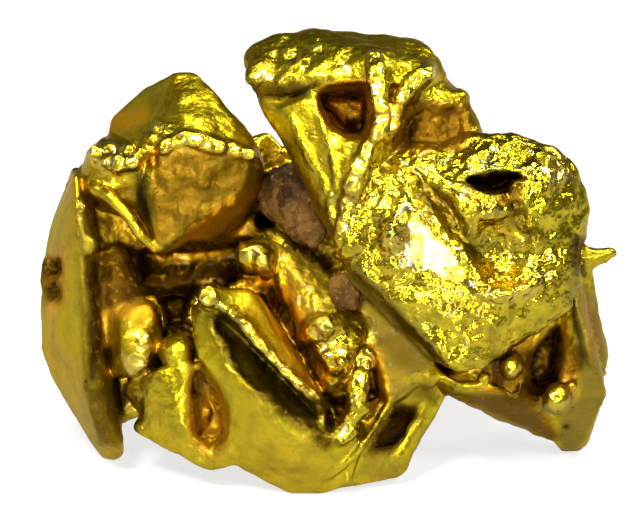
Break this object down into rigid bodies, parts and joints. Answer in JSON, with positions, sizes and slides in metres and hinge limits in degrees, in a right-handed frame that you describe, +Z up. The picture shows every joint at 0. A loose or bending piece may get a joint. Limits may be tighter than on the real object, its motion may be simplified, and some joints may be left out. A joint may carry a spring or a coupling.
{
  "type": "gold crystal specimen",
  "caption": "Free-standing cluster of skeletal native-gold crystals with hopper pits, blades and ridges, with grains of stained quartz held in its clefts.",
  "frame": {"origin": "centre of the specimen's footprint box, on the surface that its feet stand on", "axes": "+X to the right across the broad front, +Y from the front to the back, +Z up"},
  "size_m": [0.0144, 0.0088, 0.0106],
  "materials": {
    "native_gold": "native gold, bright on worn edges and pebbly faces, deep orange in the hopper pits",
    "stained_quartz": "dull iron-stained granular quartz"
  },
  "bodies": {
    "root": {"gold_crystals": "native_gold", "quartz_chip_upper": "stained_quartz", "quartz_chip_lower": "stained_quartz"}
  },
  "joints": []
}
